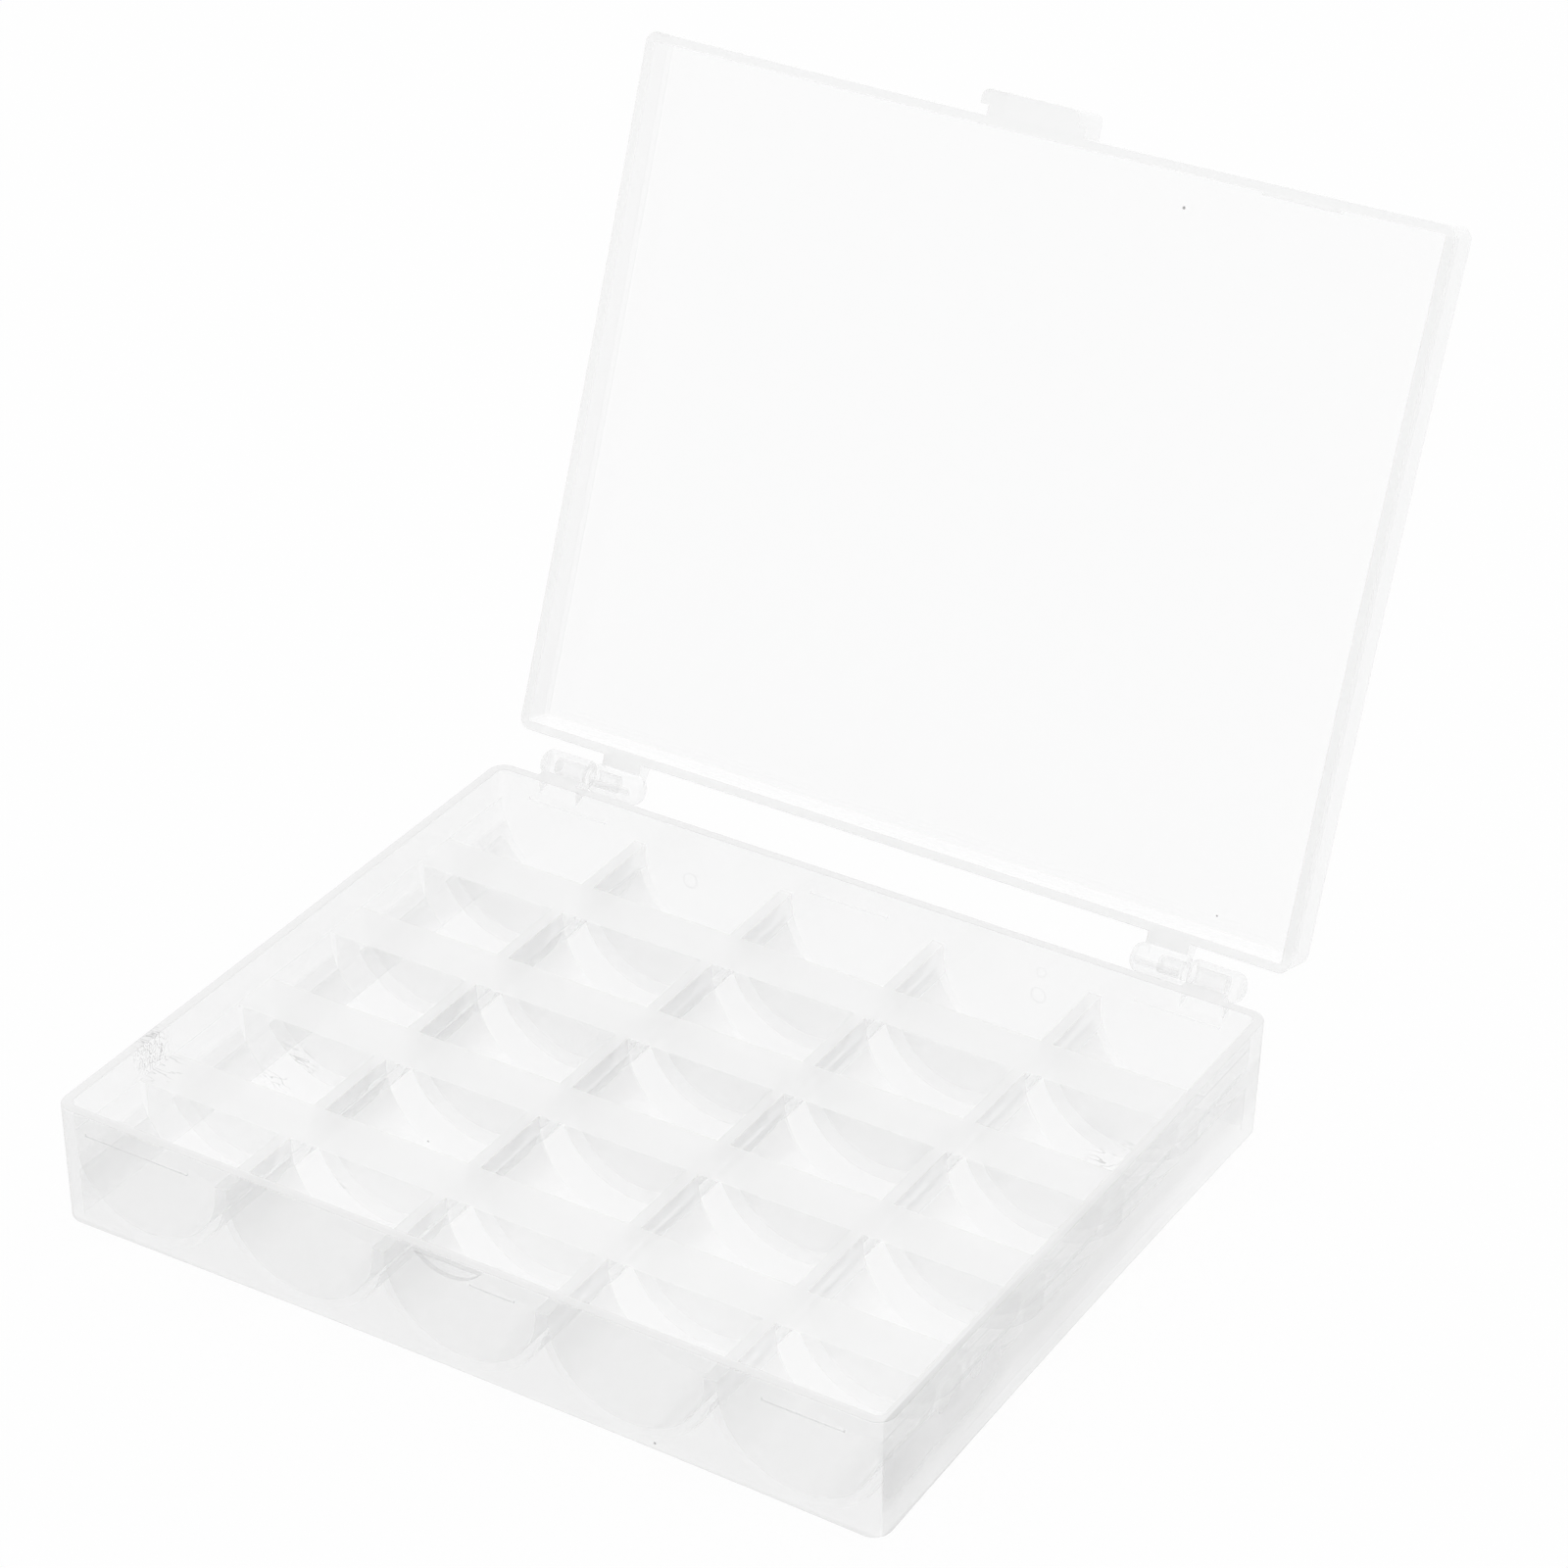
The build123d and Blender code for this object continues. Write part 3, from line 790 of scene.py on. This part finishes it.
class THREADBOX_OT_lid(bpy.types.Operator):
    """Build the lid shut over the tray, then turn it open about the hinge axis"""
    bl_idname = "threadbox.lid"
    bl_label = "Lid"
    # Small faults on the open lid, in millimetres
    MARKS = {"specks": (((20.7, 91.2, 105.5), 0.3), ((46.4, 60.6, 22.0), 0.18), ((-1.5, 80.5, 76.0), 0.15))}
    BACK_BOW = 0.3  # bow of the back skirt, as a share of the front's

    def execute(self, context):
        scene = context.scene
        lid, hinge = scene.thread_lid, scene.thread_hinge
        catch, plastic = scene.thread_catch, scene.thread_plastic
        size = Box(scene)

        def ring(z, inset, corner):
            up = (z - size.lid_rim) / lid.height
            return rounded_ring(
                size.lid_half_x - lid.side_lean * up - inset, size.lid_half_y - lid.front_lean * up - inset,
                corner, z, lid.side_bow, lid.front_bow, lid.front_bow * self.BACK_BOW,
            )

        body = rounded_loft("lid_shell", lambda z, inward: ring(z, inward, lid.corner - inward),
                            size.lid_rim, size.lid_top, (lid.rim_round, 3), (lid.top_round, 6))
        ceiling = size.lid_top - lid.panel
        inner = lid.corner - lid.wall
        room = [[p - PAST * UP for p in ring(size.lid_rim, lid.wall, inner)],
                ring(size.lid_rim, lid.wall, inner), ring(ceiling, lid.wall, inner)]
        combine(body, "DIFFERENCE", loft("room", room))

        for side in SIDES.values():
            part = knuckle(side, size.lid_barrel_x, -1, hinge.lid_barrel, hinge.lid_setback,
                           size.lid_half_y - lid.wall / 2, size.lid_rim, 1, hinge.pin_radius + hinge.lid_fit,
                           hinge.pin_in_lid + hinge.end_play, hinge)
            combine(body, "UNION", part)

        # Thumb tab on the front skirt: its lower part hangs clear in front of the nub
        skirt = -size.lid_half_y + lid.wall / 2
        plate_back = -size.half_y - catch.nub_proud - catch.clearance
        front = plate_back - catch.tab_plate
        low, high = size.lid_rim - catch.tab_reach, size.lid_rim + catch.tab_rise

        def tab_ring(z, inward):
            y = front - catch.tab_flare * (high - z) / (high - low) + inward
            half, corner = catch.tab_width / 2 - inward, catch.tab_corner - inward
            points, steps = [(half, skirt), (-half, skirt)], 6
            for sign, turn in ((-1, range(steps + 1)), (1, range(steps, -1, -1))):
                for i in turn:
                    a = math.pi / 2 * i / steps
                    points.append((sign * (half - corner * (1 - math.cos(a))), y + corner * (1 - math.sin(a))))
            return [Vector((x, depth, z)) for x, depth in points]

        tab = rounded_loft("tab", tab_ring, low, high, (catch.tab_edge / 2, 3), (catch.tab_edge, 4))
        combine(tab, "DIFFERENCE", box("behind", (-catch.tab_width, plate_back, low - PAST),
                                       (catch.tab_width, skirt + PAST, size.lid_rim)))
        combine(body, "UNION", tab)

        # Thickened stretch inside the front skirt, a hair above the rim
        middle, hair = size.lid_half_x - lid.pad_from_side, 0.02 * MM
        pad = box("pad", (middle - lid.pad_length / 2, skirt, size.lid_rim + hair),
                  (middle + lid.pad_length / 2, skirt + lid.wall / 2 + lid.pad_proud, size.lid_rim + lid.pad_height))
        combine(body, "UNION", pad)

        about = Matrix.Translation(HINGE) @ Matrix.Rotation(-OPEN_ANGLE, 4, "X") @ Matrix.Translation(-HINGE)
        body.data.transform(about)
        body.name = "lid_moulding"
        finish_mesh(body)
        body.data.materials.clear()
        edges = [(about @ (z * UP), about.to_3x3() @ -UP, plastic.lid_rim_haze) for z in (size.lid_rim, low)]
        body.data.materials.append(clear_plastic("lid", plastic, flats=edges, **self.MARKS))
        hand_over(body, "lid", "lid_plastic", "lid")
        return {"FINISHED"}


class THREADBOX_OT_pins(bpy.types.Operator):
    """Build the two hinge pins"""
    bl_idname = "threadbox.pins"
    bl_label = "Hinge pins"

    def execute(self, context):
        scene = context.scene
        hinge = scene.thread_hinge
        size = Box(scene)
        material = clear_plastic("pin", scene.thread_plastic)
        for name, side in SIDES.items():
            ends = (size.tray_barrel_x + hinge.pin_in_tray, size.tray_barrel_x - hinge.gap - hinge.pin_in_lid)
            outer, inner = (side * x for x in ends)
            rings = [circle_ring(outer, hinge.pin_radius - hinge.pin_chamfer),
                     circle_ring(outer - side * hinge.pin_chamfer, hinge.pin_radius),
                     circle_ring(inner + side * hinge.pin_chamfer, hinge.pin_radius),
                     circle_ring(inner, hinge.pin_radius - hinge.pin_chamfer)]
            pin = finish_mesh(loft(f"{name}_pin", rings))
            pin.data.materials.append(material)
            hand_over(pin, "tray", "pin_plastic", f"{name}_hinge_pin")
        return {"FINISHED"}


class THREADBOX_OT_studio(bpy.types.Operator):
    """Build the pale floor, the even light and the camera"""
    bl_idname = "threadbox.studio"
    bl_label = "Studio"
    BRIGHT_SIDE = (-0.35, 0.35, 0.87)
    # Rays that see the backdrop's own colour: of the camera, of mirror reflections and through clear plastic
    DIRECT = ("Camera", "Glossy", "Transmission")
    FLOOR_REACH, FLOOR_UNDER, FLOOR_TOP = 3.0, -0.01, -0.0002  # in metres, the top just below the box
    FLOOR_PAINT = (0.8, 0.8, 0.8, 1.0)
    FLOOR_GLOW = 0.9  # how much of the floor is the backdrop's own colour where it is seen directly
    CAMERA_TURN = (30.649, 31.045, 0.877)  # about the vertical, downwards, and about its own axis, in degrees
    CAMERA_PLACE = (263.35, -417.67, 355.47)  # in millimetres

    def execute(self, context):
        scene = context.scene
        studio = scene.thread_studio
        scene.view_settings.view_transform = "Standard"

        # Even light from all round. Seen by the camera or through the plastic it is the backdrop's colour.
        scene.world = bpy.data.worlds.new("studio_light")
        n = fresh_nodes(scene.world)
        towards = n.vector("DOT_PRODUCT", n.add("ShaderNodeTexCoord", out="Generated"), self.BRIGHT_SIDE)
        light = n.add("ShaderNodeBackground", {}, Color=WHITE, Strength=studio.level * (1.0 + studio.slant * towards))
        seen = n.add("ShaderNodeBackground", {}, Color=tuple(studio.backdrop), Strength=1.0)
        n.sink("ShaderNodeOutputWorld", Surface=n.add("ShaderNodeMixShader", {}, n.rays(*self.DIRECT), light, seen))

        reach = self.FLOOR_REACH
        floor = box("floor", (-reach, -reach, self.FLOOR_UNDER), (reach, reach, self.FLOOR_TOP))
        material = bpy.data.materials.new("white_floor")
        n = fresh_nodes(material)
        paint = n.add("ShaderNodeBsdfDiffuse", {}, Color=self.FLOOR_PAINT)
        glow = n.add("ShaderNodeEmission", {}, Color=tuple(studio.backdrop), Strength=1.0)
        part_seen = n.rays(*self.DIRECT) * self.FLOOR_GLOW
        n.sink("ShaderNodeOutputMaterial", Surface=n.add("ShaderNodeMixShader", {}, part_seen, paint, glow))
        floor.data.materials.append(material)

        camera = bpy.data.cameras.new("camera")
        camera.lens = studio.lens
        camera.sensor_width = 36.0
        camera.clip_start, camera.clip_end = 0.01, 20.0
        holder = bpy.data.objects.new("camera", camera)
        scene.collection.objects.link(holder)
        azimuth, elevation, roll = (math.radians(angle) for angle in self.CAMERA_TURN)
        right = Vector((math.cos(azimuth), math.sin(azimuth), 0.0))
        back = Vector((math.sin(azimuth) * math.cos(elevation), -math.cos(azimuth) * math.cos(elevation),
                       math.sin(elevation)))
        up = back.cross(right)
        across = right * math.cos(roll) + up * math.sin(roll)
        upright = up * math.cos(roll) - right * math.sin(roll)
        place = Matrix((across, upright, back)).transposed().to_4x4()
        place.translation = Vector(self.CAMERA_PLACE) * MM
        holder.matrix_world = place
        scene.camera = holder
        return {"FINISHED"}


OPERATORS = (THREADBOX_OT_studio, THREADBOX_OT_tray, THREADBOX_OT_lid, THREADBOX_OT_pins)


class THREADBOX_PT_panel(bpy.types.Panel):
    """Lists the box's pieces and its studio"""
    bl_idname = "THREADBOX_PT_panel"
    bl_label = "Clear Thread Box"
    bl_space_type = "VIEW_3D"
    bl_region_type = "UI"
    bl_category = "Thread Box"

    def draw(self, context):
        for operator in OPERATORS:
            self.layout.operator(operator.bl_idname, text=operator.bl_label)


CLASSES = (*GROUPS.values(), *OPERATORS, THREADBOX_PT_panel)


def register():
    for kind in CLASSES:
        bpy.utils.register_class(kind)
    for name, group in GROUPS.items():
        setattr(bpy.types.Scene, name, PointerProperty(type=group))


def unregister():
    for name in GROUPS:
        delattr(bpy.types.Scene, name)
    for kind in reversed(CLASSES):
        bpy.utils.unregister_class(kind)


def main():
    register()
    for operator in OPERATORS:
        getattr(bpy.ops.threadbox, operator.bl_idname.split(".")[1])()


if __name__ == "__main__":
    main()
